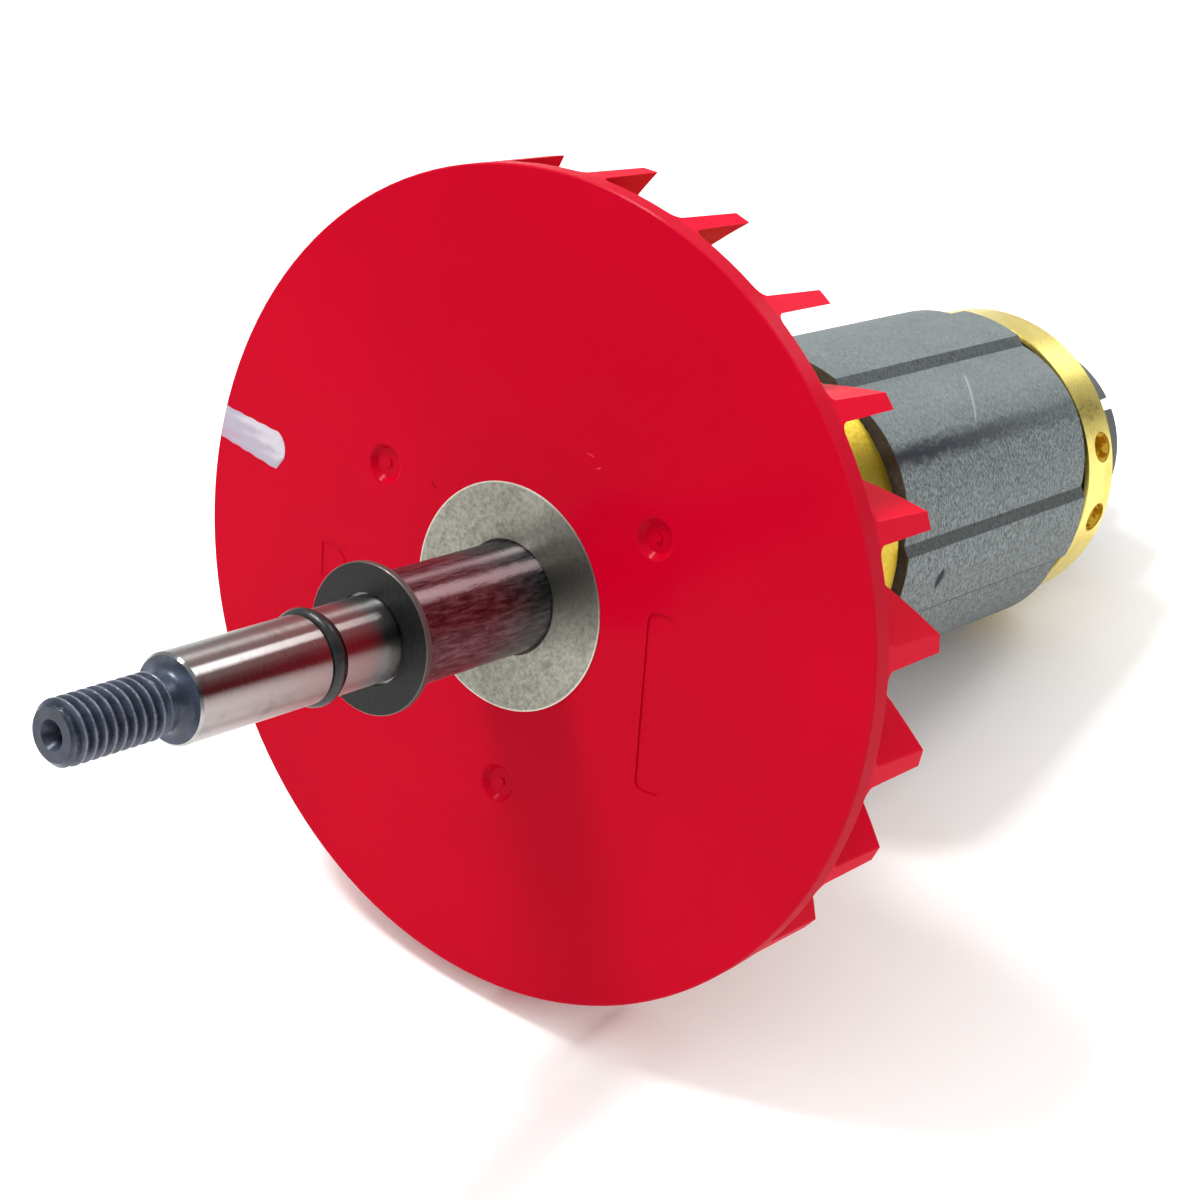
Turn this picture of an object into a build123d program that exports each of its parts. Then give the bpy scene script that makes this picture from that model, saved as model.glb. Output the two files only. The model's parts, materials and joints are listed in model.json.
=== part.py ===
from build123d import *
from math import acos, atan2, cos, degrees, hypot, radians, sin
import os

# A permanent-magnet motor rotor with its cooling fan, lying at rest on a surface.
#
# Every piece is built on one axis, +Z from the threaded end to the rear journal, with Z = 0 at the
# front edge of the fan's rim, +X up at rest (angle 0) and +Y at angle 90. The last step lays the pieces down.
# All sizes are millimetres and degrees.

# Shaft, from the thread to the rear journal
THREAD_D = 7.94
THREAD_CHAMFER = 0.8
STUD_L = 17.0
NECK_D = 6.6
NECK_L = 2.2
NECK_ROUND = 1.4
STEP_D = 11.1
STEP_L = 33.94
STEP_CHAMFER = 0.3
SEAT_D = 15.0
SEAT_L = 25.56
SEAT_CHAMFER = 0.4
COLLAR_HEIGHT = 1.0
BODY_D = 18.0
REAR_SHOULDER = 1.5
JOURNAL_D = 12.0
JOURNAL_L = 11.9
JOURNAL_CHAMFER = 0.8
CENTRE_MOUTH_D = 3.6
CENTRE_PILOT_D = 1.8
CENTRE_PILOT_DEPTH = 4.5
CENTRE_CONE = 60.0
DRILL_POINT = 118.0

# Seal and washer on the shaft's front step
O_RING_SECTION = 2.0
GROOVE_D = 8.3
GROOVE_SIDE_GAP = 0.3
GROOVE_FROM_SHOULDER = 11.64
O_RING_GAP = 0.02
WASHER_D = 19.5
WASHER_T = 1.0
WASHER_BORE_GAP = 0.35
WASHER_EDGE = 0.1

# Fan moulding
FAN_D = 112.5
DISC_T = 2.8
RIM_BREAK = 0.2
FACE_RISE = 0.87
BLADE_COUNT = 23
BLADE_HEIGHT = 11.8
BLADE_TIP_T = 1.9
BLADE_ROOT_T = 2.4
BLADE_SWEEP = 35.0
BLADE_CURVE_R = 98.0
BLADE_LENGTH = 25.4
BLADE_END_ROUND = 0.8
BLADE_ROOT_ROUND = 1.3
HUB_WALL = 6.0
HUB_BEHIND_DISC = 10.7

# Marks moulded into the fan's front face
GATE_COUNT = 3
GATE_CIRCLE_R = 26.4
GATE_ANGLE = 53.1
GATE_MOUTH_D = 5.5
GATE_FLOOR_D = 4.0
GATE_DEPTH = 0.8
GATE_LIP_ROUND = 0.4
GATE_TIP_D = 1.2
GATE_TIP_HEIGHT = 0.2
PANEL_L = 24.2
PANEL_W = 4.5
PANEL_CORNER_R = 1.3
PANEL_DEPTH = 0.2
PANEL_R = 26.3
PANEL_ANGLE = 101.5
PANEL_TURN = -6.3
MARK_SIDE = 5.0
MARK_DIAL_D = 4.0
MARK_DEPTH = 0.1
MARK_R = 31.6
MARK_ANGLE = -102.1
MARK_TURN = -7.0

# Steel insert in the fan's hub
INSERT_PROUD = 0.13
INSERT_SUNK = 1.0
INSERT_FLANGE_D = 30.9
INSERT_WALL = 3.5
INSERT_MOUTH = 0.35
INSERT_TAIL = 14.0

# Balance rings and their plain bosses against the stack
RING_D = 48.7
RING_EDGE = 0.5
FAN_TO_RING = 34.4
FRONT_RING_W = 8.4
FRONT_BOSS_L = 0.5
REAR_RING_W = 9.0
REAR_BOSS_L = 2.9
BOSS_D = 43.0
BALANCE_HOLE_D = 5.0
BALANCE_HOLE_DEPTH = 5.0
BALANCE_HOLE_FROM_FACE = 5.3
BALANCE_HOLE_ANGLES = (67.8, 95.7)

# Lamination stack
STACK_L = 53.8
POLE_COUNT = 4
POLE_ANGLE = 50.1
POLE_CROWN_R = 25.9
POLE_EDGE_R = 24.7
POLE_HALF_ANGLE = 29.5
TOOTH_R = 25.6
TOOTH_ANGLE = 23.5

# Magnets and their pockets
MAGNET_W = 22.0
MAGNET_T = 3.5
MAGNETS_PER_POLE = 2
MAGNET_R = 18.5
POCKET_GAP = 0.1
POCKET_END_SPACE = 2.1

# Slotted disc behind the rear ring
RING_TO_DISC = 10.0
SENSOR_D = 33.0
SENSOR_W = 7.0
SENSOR_EDGE = 0.3
SENSOR_SLOT_W = 2.0
SENSOR_SLOT_DEPTH = 5.0

# Stations along the axis, all worked out from the sizes above
insert_front = -(FACE_RISE + INSERT_PROUD)
seat_front = insert_front - SEAT_L
step_front = seat_front - STEP_L
thread_front = step_front - STUD_L
groove_middle = seat_front - GROOVE_FROM_SHOULDER
blade_rear = DISC_T + BLADE_HEIGHT
hub_rear = DISC_T + HUB_BEHIND_DISC
insert_rear = INSERT_TAIL
front_ring_front = blade_rear + FAN_TO_RING
front_ring_rear = front_ring_front + FRONT_RING_W
stack_front = front_ring_rear + FRONT_BOSS_L
stack_rear = stack_front + STACK_L
rear_ring_front = stack_rear + REAR_BOSS_L
rear_ring_rear = rear_ring_front + REAR_RING_W
sensor_front = rear_ring_rear + RING_TO_DISC
sensor_rear = sensor_front + SENSOR_W
journal_rear = sensor_rear + JOURNAL_L

# Radii shared by mating pieces
fan_r = FAN_D / 2
ring_r = RING_D / 2
seat_r = SEAT_D / 2
body_r = BODY_D / 2
collar_r = body_r + COLLAR_HEIGHT
rear_seat_r = body_r - REAR_SHOULDER
insert_r = seat_r + INSERT_WALL
hub_r = insert_r + HUB_WALL
flange_r = INSERT_FLANGE_D / 2
pole_pitch = 360 / POLE_COUNT
blade_pitch = 360 / BLADE_COUNT
trim_allowance = 2 * BLADE_ROOT_T


def polar(radius, angle):
    """The point of the cross-section at a radius and an angle."""
    return (radius * cos(radians(angle)), radius * sin(radians(angle)))


def turned(*points):
    """A solid turned about the axis from a closed outline of (radius, station) points."""
    outline = Plane.XZ * Polyline(*points, close=True)
    return revolve(make_face(outline), Axis.Z)


def cone_depth(radius, included_angle):
    """How deep a cone of this mouth radius and included angle goes."""
    return radius / sin(radians(included_angle / 2)) * cos(radians(included_angle / 2))


def centre_hole():
    """A lathe centre drilled along +Z from Z = 0: a wide cone, a pilot hole and its drill point."""
    mouth_r = CENTRE_MOUTH_D / 2
    pilot_r = CENTRE_PILOT_D / 2
    cone_end = cone_depth(mouth_r, CENTRE_CONE) - cone_depth(pilot_r, CENTRE_CONE)
    tip = CENTRE_PILOT_DEPTH + cone_depth(pilot_r, DRILL_POINT)
    return turned((0, 0), (mouth_r, 0), (pilot_r, cone_end), (pilot_r, CENTRE_PILOT_DEPTH), (0, tip))


def neck_corner(shaft):
    """The round edge where the thread's neck meets the step's front face."""
    circles = shaft.edges().filter_by(GeomType.CIRCLE)
    on_face = circles.filter_by_position(Axis.Z, step_front, step_front)
    return on_face.sort_by(SortBy.RADIUS)[0]


def rotor_shaft():
    """The shaft from its threaded end to the rear journal, with a lathe centre in each end."""
    thread_r = THREAD_D / 2
    step_r = STEP_D / 2
    journal_r = JOURNAL_D / 2
    groove_r = GROOVE_D / 2
    groove_half = O_RING_SECTION / 2 + GROOVE_SIDE_GAP
    neck_r = NECK_D / 2
    shaft = turned(
        (0, thread_front),
        (thread_r - THREAD_CHAMFER, thread_front),
        (thread_r, thread_front + THREAD_CHAMFER),
        (thread_r, step_front - NECK_L - (thread_r - neck_r)),
        (neck_r, step_front - NECK_L),
        (neck_r, step_front),
        (step_r - STEP_CHAMFER, step_front),
        (step_r, step_front + STEP_CHAMFER),
        (step_r, groove_middle - groove_half),
        (groove_r, groove_middle - groove_half),
        (groove_r, groove_middle + groove_half),
        (step_r, groove_middle + groove_half),
        (step_r, seat_front),
        (seat_r - SEAT_CHAMFER, seat_front),
        (seat_r, seat_front + SEAT_CHAMFER),
        (seat_r, insert_rear),
        (collar_r, insert_rear),
        (collar_r, front_ring_front),
        (body_r, front_ring_front),
        (body_r, rear_ring_rear),
        (rear_seat_r, rear_ring_rear),
        (rear_seat_r, sensor_rear),
        (journal_r, sensor_rear),
        (journal_r, journal_rear - JOURNAL_CHAMFER),
        (journal_r - JOURNAL_CHAMFER, journal_rear),
        (0, journal_rear),
    )
    neck_round = min(NECK_ROUND, 0.9 * NECK_L, 0.9 * (step_r - STEP_CHAMFER - neck_r))
    shaft = fillet(neck_corner(shaft), neck_round)
    front_centre = Pos(0, 0, thread_front) * centre_hole()
    rear_centre = Pos(0, 0, journal_rear) * Rot(180, 0, 0) * centre_hole()
    return shaft - front_centre - rear_centre


def o_ring():
    section_r = O_RING_SECTION / 2
    ring = Torus(GROOVE_D / 2 + O_RING_GAP + section_r, section_r)
    return Pos(0, 0, groove_middle) * ring


def thrust_washer():
    outer = WASHER_D / 2
    inner = STEP_D / 2 + WASHER_BORE_GAP
    front = seat_front - WASHER_T
    return turned(
        (inner, front),
        (outer - WASHER_EDGE, front),
        (outer, front + WASHER_EDGE),
        (outer, seat_front - WASHER_EDGE),
        (outer - WASHER_EDGE, seat_front),
        (inner, seat_front),
    )


def flank_angle(curve_r, centre_r, centre_angle):
    """The angle on the fan's rim where a blade's flank, an arc of curve_r, meets it."""
    cosine = (fan_r**2 + centre_r**2 - curve_r**2) / (2 * fan_r * centre_r)
    return centre_angle - degrees(acos(cosine))


def blade_pattern():
    """The centre of the blade's curve, and the turn that centres a gap between blades at angle 180."""
    curve_x = fan_r - BLADE_CURVE_R * sin(radians(BLADE_SWEEP))
    curve_y = BLADE_CURVE_R * cos(radians(BLADE_SWEEP))
    centre_r = hypot(curve_x, curve_y)
    centre_angle = degrees(atan2(curve_y, curve_x))
    high = flank_angle(BLADE_CURVE_R - BLADE_TIP_T / 2, centre_r, centre_angle)
    low = flank_angle(BLADE_CURVE_R + BLADE_TIP_T / 2, centre_r, centre_angle)
    turn = 180 + blade_pitch / 2 - (high + low) / 2
    half_gap = (blade_pitch - abs(high - low)) / 2
    return curve_x, curve_y, turn, half_gap


curve_x, curve_y, blade_turn, half_gap = blade_pattern()


def blade():
    """One curved blade, its leading flank straight and the other drafted, run on past the rim."""
    inner = BLADE_CURVE_R - BLADE_TIP_T / 2
    sunk = DISC_T / 2
    draft = (BLADE_ROOT_T - BLADE_TIP_T) / BLADE_HEIGHT
    root = inner + BLADE_ROOT_T + draft * (DISC_T - sunk)
    tip = inner + BLADE_TIP_T
    corners = [(inner, sunk), (root, sunk), (tip, blade_rear), (inner, blade_rear)]
    section = make_face(Plane.XZ * Polyline(*corners, close=True))
    beyond_rim = degrees(trim_allowance / BLADE_CURVE_R)
    sweep = degrees(BLADE_LENGTH / BLADE_CURVE_R) + beyond_rim
    strip = revolve(section, Axis.Z, revolution_arc=sweep)
    inner_end = strip.faces().sort_by(Axis.Y)[0]
    standing = inner_end.edges().filter_by(lambda edge: edge.bounding_box().size.Z > DISC_T)
    strip = fillet(standing, BLADE_END_ROUND)
    start = BLADE_SWEEP - 90 + beyond_rim
    return Pos(curve_x, curve_y, 0) * Rot(0, 0, start - sweep) * strip


def root_edges(moulding):
    """The edges where the blades' sides and inner ends stand on the disc."""
    middle = (hub_r + fan_r - BLADE_LENGTH) / 2
    top = moulding.faces().filter_by(Axis.Z).filter_by_position(Axis.Z, DISC_T, DISC_T)
    edges = top.edges()
    return edges.filter_by(lambda edge: middle < hypot(edge.center().X, edge.center().Y) < fan_r)


def face_station(radius):
    """Where the fan's front face, a shallow cone that stands out towards the flange, lies at a radius."""
    return -FACE_RISE * (fan_r - radius) / (fan_r - flange_r)


def face_skin(depth):
    """Everything in front of the fan's face and down to a depth below it."""
    return turned(
        (flange_r, -trim_allowance),
        (fan_r, -trim_allowance),
        (fan_r, face_station(fan_r) + depth),
        (flange_r, face_station(flange_r) + depth),
    )


def face_place(radius, angle, turn=0):
    """A place on the fan's front face, at a radius and angle, with its X turned from straight up."""
    x, y = polar(radius, angle)
    return Pos(x, y, face_station(radius)) * Rot(0, 0, turn)


def sunk_mark(sketch, place, depth):
    """What a sketch laid on the fan's face cuts away to an even depth below the cone."""
    prism = extrude(sketch, 2 * trim_allowance, both=True)
    return face_skin(depth) & place * prism


def gate_dimple():
    """A moulding gate's recess with a sloping wall, and a small snapped tip left on its floor."""
    mouth_r = GATE_MOUTH_D / 2
    floor_r = GATE_FLOOR_D / 2
    tip_r = GATE_TIP_D / 2
    run = (mouth_r - floor_r) / GATE_DEPTH
    tip_top = GATE_DEPTH - GATE_TIP_HEIGHT
    return turned(
        (0, -DISC_T),
        (mouth_r + run * DISC_T, -DISC_T),
        (floor_r, GATE_DEPTH),
        (tip_r, GATE_DEPTH),
        (tip_r, tip_top),
        (0, tip_top),
    )


def gate_lips(moulding):
    """The rims of the gate dimples on the front face."""
    boxes = [(edge, edge.bounding_box()) for edge in moulding.edges()]
    return [edge for edge, box in boxes if box.max.Z < 0 and GATE_FLOOR_D < box.size.X < 2 * GATE_MOUTH_D]


def cooling_fan():
    """The whole red moulding: disc, hub around the insert, swept blades and the moulded marks."""
    oversize_r = fan_r + 2 * trim_allowance
    moulding = turned(
        (insert_r, INSERT_SUNK),
        (flange_r, INSERT_SUNK),
        (flange_r, face_station(flange_r)),
        (oversize_r, face_station(oversize_r)),
        (oversize_r, DISC_T),
        (hub_r, DISC_T),
        (hub_r, hub_rear),
        (insert_r, hub_rear),
    )
    one_blade = blade()
    moulding += [Rot(0, 0, blade_turn + k * blade_pitch) * one_blade for k in range(BLADE_COUNT)]
    moulding = fillet(root_edges(moulding), BLADE_ROOT_ROUND)
    moulding &= turned(
        (0, -trim_allowance),
        (fan_r - RIM_BREAK - trim_allowance, -trim_allowance),
        (fan_r, RIM_BREAK),
        (fan_r, blade_rear),
        (0, blade_rear),
    )
    for k in range(GATE_COUNT):
        moulding -= face_place(GATE_CIRCLE_R, GATE_ANGLE + k * 360 / GATE_COUNT) * gate_dimple()
    moulding = fillet(gate_lips(moulding), GATE_LIP_ROUND)
    panel = RectangleRounded(PANEL_L, PANEL_W, PANEL_CORNER_R)
    moulding -= sunk_mark(panel, face_place(PANEL_R, PANEL_ANGLE, PANEL_TURN), PANEL_DEPTH)
    dial = Rectangle(MARK_SIDE, MARK_SIDE) - Circle(MARK_DIAL_D / 2)
    moulding -= sunk_mark(dial, face_place(MARK_R, MARK_ANGLE, MARK_TURN), MARK_DEPTH)
    return moulding


def fan_hub_insert():
    """The turned steel bush that the fan is moulded on, its flange just proud of the front face."""
    return turned(
        (seat_r + INSERT_MOUTH, insert_front),
        (flange_r, insert_front),
        (flange_r, INSERT_SUNK),
        (insert_r, INSERT_SUNK),
        (insert_r, insert_rear),
        (seat_r, insert_rear),
        (seat_r, insert_front + INSERT_MOUTH),
    )


def front_balance_ring():
    boss_r = BOSS_D / 2
    return turned(
        (body_r, front_ring_front),
        (ring_r - RING_EDGE, front_ring_front),
        (ring_r, front_ring_front + RING_EDGE),
        (ring_r, front_ring_rear - RING_EDGE),
        (ring_r - RING_EDGE, front_ring_rear),
        (boss_r, front_ring_rear),
        (boss_r, stack_front),
        (body_r, stack_front),
    )


def balance_hole():
    """A blind hole drilled from the ring's rim towards the axis, along -X, with its drill point."""
    hole_r = BALANCE_HOLE_D / 2
    floor = ring_r - BALANCE_HOLE_DEPTH
    tip = floor - cone_depth(hole_r, DRILL_POINT)
    drill = turned((0, tip), (hole_r, floor), (hole_r, 2 * ring_r), (0, 2 * ring_r))
    return Rot(0, 90, 0) * drill


def rear_balance_ring():
    boss_r = BOSS_D / 2
    ring = turned(
        (body_r, stack_rear),
        (boss_r, stack_rear),
        (boss_r, rear_ring_front),
        (ring_r - RING_EDGE, rear_ring_front),
        (ring_r, rear_ring_front + RING_EDGE),
        (ring_r, rear_ring_rear - RING_EDGE),
        (ring_r - RING_EDGE, rear_ring_rear),
        (body_r, rear_ring_rear),
    )
    for angle in BALANCE_HOLE_ANGLES:
        middle = Pos(0, 0, rear_ring_front + BALANCE_HOLE_FROM_FACE)
        ring -= middle * Rot(0, 0, angle) * balance_hole()
    return ring


def pole_outline(pole):
    """One pole's crown and the narrow tooth after it, as the edges of the stack's outline."""
    centre = POLE_ANGLE + pole * pole_pitch
    tooth_start = centre + (pole_pitch - TOOTH_ANGLE) / 2
    tooth_end = tooth_start + TOOTH_ANGLE
    crown_start = polar(POLE_EDGE_R, centre - POLE_HALF_ANGLE)
    crown_end = polar(POLE_EDGE_R, centre + POLE_HALF_ANGLE)
    next_crown = polar(POLE_EDGE_R, centre + pole_pitch - POLE_HALF_ANGLE)
    tooth_corner = polar(TOOTH_R, tooth_start)
    tooth_far_corner = polar(TOOTH_R, tooth_end)
    crown = ThreePointArc(crown_start, polar(POLE_CROWN_R, centre), crown_end)
    rise = Line(crown_end, tooth_corner)
    tooth = ThreePointArc(tooth_corner, polar(TOOTH_R, (tooth_start + tooth_end) / 2), tooth_far_corner)
    fall = Line(tooth_far_corner, next_crown)
    return [crown, rise, tooth, fall]


def pocket_section():
    """A magnet's pocket across one pole, with round air spaces past the magnet's two ends."""
    height = MAGNET_T + 2 * POCKET_GAP
    width = MAGNET_W + 2 * POCKET_END_SPACE
    return SlotOverall(width, height)


def lamination_core():
    """The bonded stack of pole laminations, with its bore and one magnet pocket in each pole."""
    edges = [edge for pole in range(POLE_COUNT) for edge in pole_outline(pole)]
    section = make_face(Wire(edges)) - Circle(body_r)
    for pole in range(POLE_COUNT):
        turn = Rot(0, 0, POLE_ANGLE + pole * pole_pitch) * Pos(MAGNET_R, 0) * Rot(0, 0, 90)
        section -= turn * pocket_section()
    return Pos(0, 0, stack_front) * extrude(section, STACK_L)


def magnet(pole, segment):
    """One flat block magnet, lying across its pole at its place in the row along the stack."""
    length = STACK_L / MAGNETS_PER_POLE
    block = Box(MAGNET_T, MAGNET_W, length)
    station = stack_front + (segment + 0.5) * length
    return Rot(0, 0, POLE_ANGLE + pole * pole_pitch) * Pos(MAGNET_R, 0, station) * block


def sensor_disc():
    """The dark disc behind the rear ring, with a slot in its rim at each pole's middle."""
    outer = SENSOR_D / 2
    disc = turned(
        (rear_seat_r, sensor_front),
        (outer - SENSOR_EDGE, sensor_front),
        (outer, sensor_front + SENSOR_EDGE),
        (outer, sensor_rear - SENSOR_EDGE),
        (outer - SENSOR_EDGE, sensor_rear),
        (rear_seat_r, sensor_rear),
    )
    slot = Box(2 * SENSOR_SLOT_DEPTH, SENSOR_SLOT_W, 2 * SENSOR_W)
    middle = (sensor_front + sensor_rear) / 2
    for pole in range(POLE_COUNT):
        disc -= Rot(0, 0, POLE_ANGLE + pole * pole_pitch) * Pos(outer, 0, middle) * slot
    return disc


def rest_place():
    """Where the axis lies at rest: down on two blade tips and on the rear ring's edge.

    The rotor leans back until the corners of the two lowest blade tips and the lowest point of the
    rear ring are level. The origin is then under the middle of the rotor's length and width.
    """
    tip_drop = fan_r * cos(radians(half_gap))
    ring_station = rear_ring_rear - RING_EDGE
    lean = atan2(tip_drop - ring_r, ring_station - blade_rear)
    height = blade_rear * sin(lean) + tip_drop * cos(lean)
    thread_end_r = THREAD_D / 2 - THREAD_CHAMFER
    journal_end_r = JOURNAL_D / 2 - JOURNAL_CHAMFER
    front_reach = thread_front * cos(lean) - thread_end_r * sin(lean)
    rear_reach = journal_rear * cos(lean) + journal_end_r * sin(lean)
    origin = (-(front_reach + rear_reach) / 2, 0, height)
    return Plane(origin, x_dir=(sin(lean), 0, cos(lean)), z_dir=(cos(lean), 0, -sin(lean)))


def pieces():
    """Every piece by its node's name, on the building axis."""
    parts = {
        "rotor_shaft": rotor_shaft(),
        "o_ring": o_ring(),
        "thrust_washer": thrust_washer(),
        "cooling_fan": cooling_fan(),
        "fan_hub_insert": fan_hub_insert(),
        "front_balance_ring": front_balance_ring(),
        "lamination_core": lamination_core(),
        "rear_balance_ring": rear_balance_ring(),
        "sensor_disc": sensor_disc(),
    }
    for pole in range(POLE_COUNT):
        for segment in range(MAGNETS_PER_POLE):
            parts[f"magnet_{pole + 1}_{segment + 1}"] = magnet(pole, segment)
    return parts


os.makedirs("parts", exist_ok=True)
place = rest_place().location
for node, shape in pieces().items():
    export_step(place * shape, f"parts/{node}.step")
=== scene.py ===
"""Finishes a motor rotor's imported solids: a helical thread, node materials, paint and a studio.

Lengths in the constants are millimetres, angles are degrees. The rotor's own axes are its station along
the axis, 0 at the front edge of the fan's rim and rising towards the rear journal, the radius from the
axis, and the angle about it, 0 straight up at rest and 90 on the side of the camera.
"""

import json
import math

import bpy
import numpy as np
from mathutils import Matrix, Vector


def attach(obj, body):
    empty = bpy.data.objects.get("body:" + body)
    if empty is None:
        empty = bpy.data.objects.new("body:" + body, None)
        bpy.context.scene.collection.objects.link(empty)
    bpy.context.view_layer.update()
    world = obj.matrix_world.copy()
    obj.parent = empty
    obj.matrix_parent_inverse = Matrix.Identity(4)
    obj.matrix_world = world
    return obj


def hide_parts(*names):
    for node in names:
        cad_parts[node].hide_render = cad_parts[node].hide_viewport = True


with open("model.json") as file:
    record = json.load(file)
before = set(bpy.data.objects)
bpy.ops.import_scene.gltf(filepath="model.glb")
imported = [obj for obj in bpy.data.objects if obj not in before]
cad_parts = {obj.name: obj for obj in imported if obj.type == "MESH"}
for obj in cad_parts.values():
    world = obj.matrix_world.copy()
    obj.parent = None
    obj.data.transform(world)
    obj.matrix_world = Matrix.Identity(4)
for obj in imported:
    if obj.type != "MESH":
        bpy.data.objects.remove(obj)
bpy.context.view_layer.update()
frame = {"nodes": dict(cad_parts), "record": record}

bl_info = {
    "name": "Motor rotor with cooling fan",
    "version": (1, 0, 0),
    "blender": (4, 5, 0),
    "location": "3D View > Sidebar > Rotor",
    "description": "Adds the thread, the finishes, the paint stroke and the studio to the rotor's solids",
    "category": "Object",
}

MM = 0.001
BODY = "root"
SHARP_ANGLE = math.radians(28.0)

# The axis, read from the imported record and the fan's solid
mounts = {mount["name"]: mount for mount in frame["record"]["mounts"]}
AXIS = np.array(mounts["rear_journal"]["axis"])
AXIS = AXIS / np.linalg.norm(AXIS)
VERTICAL = np.array([0.0, 0.0, 1.0])
UP = VERTICAL - (VERTICAL @ AXIS) * AXIS
UP = UP / np.linalg.norm(UP)
SIDE = np.cross(AXIS, UP)
LEAN = math.atan2(-AXIS[2], AXIS[0])


def node_vertices(name):
    """The vertices of a solid's mesh as one array, in metres."""
    mesh = frame["nodes"][name].data
    flat = np.empty(3 * len(mesh.vertices), np.float32)
    mesh.vertices.foreach_get("co", flat)
    return flat.reshape(-1, 3).astype(float)


# How far the fan's coned face and the bush's flange stand in front of the rim's edge, at station 0
FACE_RISE = 0.87
FLANGE_RISE = 1.0
AXIS_POINT = np.array(mounts["thread_end"]["pos_m"])
FLANGE_REACH = ((node_vertices("fan_hub_insert") - AXIS_POINT) @ AXIS).min()
ORIGIN = AXIS_POINT + (FLANGE_REACH + FLANGE_RISE * MM) * AXIS


def span(name):
    """The first and last station of a solid, in millimetres."""
    stations = (node_vertices(name) - ORIGIN) @ AXIS / MM
    return float(stations.min()), float(stations.max())


def outer_radius(name):
    """The largest distance of a solid's vertices from the axis, in millimetres."""
    offset = node_vertices(name) - ORIGIN
    across = offset - np.outer(offset @ AXIS, AXIS)
    return float(np.linalg.norm(across, axis=1).max()) / MM


# Stations and radii that the solids and the record's mounts give
SHAFT_FRONT, SHAFT_REAR = span("rotor_shaft")
SEAT_FRONT = span("thrust_washer")[1]
GROOVE_MIDDLE = sum(span("o_ring")) / 2
INSERT_FRONT, INSERT_REAR = span("fan_hub_insert")
FRONT_RING_FRONT, FRONT_RING_REAR = span("front_balance_ring")
CORE_FRONT, CORE_REAR = span("lamination_core")
RING_REAR = span("rear_balance_ring")[1]
DISC_REAR = span("sensor_disc")[1]
THREAD_R = mounts["thread_end"]["dims"]["r_mm"]
STEP_R = mounts["front_step"]["dims"]["r_mm"]
JOURNAL_R = mounts["rear_journal"]["dims"]["r_mm"]
FAN_R = outer_radius("cooling_fan")
FLANGE_R = outer_radius("fan_hub_insert")
WASHER_R = outer_radius("thrust_washer")
RING_R = outer_radius("rear_balance_ring")

# The sizes of the shaft that neither the solids' ends nor the mounts give
STUD_LENGTH = 17.0
STEP_FRONT = SHAFT_FRONT + STUD_LENGTH
THREAD_CHAMFER = 0.8
NECK_R = 3.3
NECK_LENGTH = 2.2
NECK_ROUND = 1.4
GROOVE_R = 4.15
GROOVE_HALF = 1.3
STEP_CHAMFER = 0.3
SEAT_R = 7.5
SEAT_CHAMFER = 0.4
COLLAR_R = 10.0
SHAFT_BODY_R = 9.0
REAR_SEAT_R = 7.5
JOURNAL_CHAMFER = 0.8
CENTRE_MOUTH_R = 1.8
CENTRE_PILOT_R = 0.9
CENTRE_CONE_LENGTH = 1.56
CENTRE_PILOT_DEPTH = 4.5
CENTRE_TIP_DEPTH = 5.04
ROWS_PER_PITCH = 22
SHAFT_COLUMNS = 160
FILLET_ROWS = 8

# Painted highlights along the seat, pale streaks where the lamps show: the middle and half of the width
# in degrees, and the strength
SEAT_PAINTED_HIGHLIGHTS = ((32.5, 10.0, 0.9), (9.0, 7.0, 0.4))

# The rear ring: the length of the boss that carries its rim, and the holes drilled in the rim
REAR_BOSS_LENGTH = 2.9
RIM_FRONT = CORE_REAR + REAR_BOSS_LENGTH
HOLE_ANGLES = (67.8, 95.7)
HOLE_STATION = RIM_FRONT + 5.3
HOLE_MIDDLE_R = 21.9

# The stack: the angle of the pole on the camera's side, what lies beside each pole's middle, and how
# many sheets a millimetre holds
POLE_PITCH = 90.0
POLE_ANGLE = 50.1
POLE_HALF_ANGLE = 29.5
TOOTH_START = 33.25
SHEETS_PER_MM = 2.0

# The light scratch on the stack: the middle, half of the angle that it spans, and millimetres of the
# station that it loses with each degree
SCRATCH_STATION = 85.4
SCRATCH_ANGLE = 36.6
SCRATCH_HALF_ANGLE = 11.0
SCRATCH_SLANT = 0.34

# The camera, fitted to the fan, the rings and the shaft in the photograph
CAMERA_PLACE = (-0.239216, -0.186789, 0.245564)
CAMERA_RIGHT = (0.637017, -0.770676, -0.016364)
CAMERA_UP = (0.444352, 0.349775, 0.824748)
SENSOR_WIDTH = 36.0
LENS = 76.06


def linear(red, green, blue):
    """A colour given as three display values from 0 to 255, as scene-linear numbers."""
    share = np.array([red, green, blue]) / 255.0
    low = share / 12.92
    high = ((share + 0.055) / 1.055) ** 2.4
    return tuple(float(value) for value in np.where(share <= 0.04045, low, high))


def tone(red, green, blue):
    """An opaque colour for a colour socket, given as three display values from 0 to 255."""
    return (*linear(red, green, blue), 1.0)


def colour_setting(name, text, red, green, blue):
    """A colour that a user can change."""
    return bpy.props.FloatVectorProperty(
        name=name,
        description=text,
        subtype="COLOR",
        size=3,
        min=0.0,
        max=1.0,
        default=linear(red, green, blue),
    )


def length_setting(name, text, millimetres):
    """A length that a user can change, kept in metres."""
    return bpy.props.FloatProperty(
        name=name,
        description=text,
        subtype="DISTANCE",
        unit="LENGTH",
        min=0.0,
        precision=5,
        default=millimetres * MM,
    )


def angle_setting(name, text, degrees):
    """An angle that a user can change, kept in radians."""
    return bpy.props.FloatProperty(
        name=name,
        description=text,
        subtype="ANGLE",
        unit="ROTATION",
        default=math.radians(degrees),
    )


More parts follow.
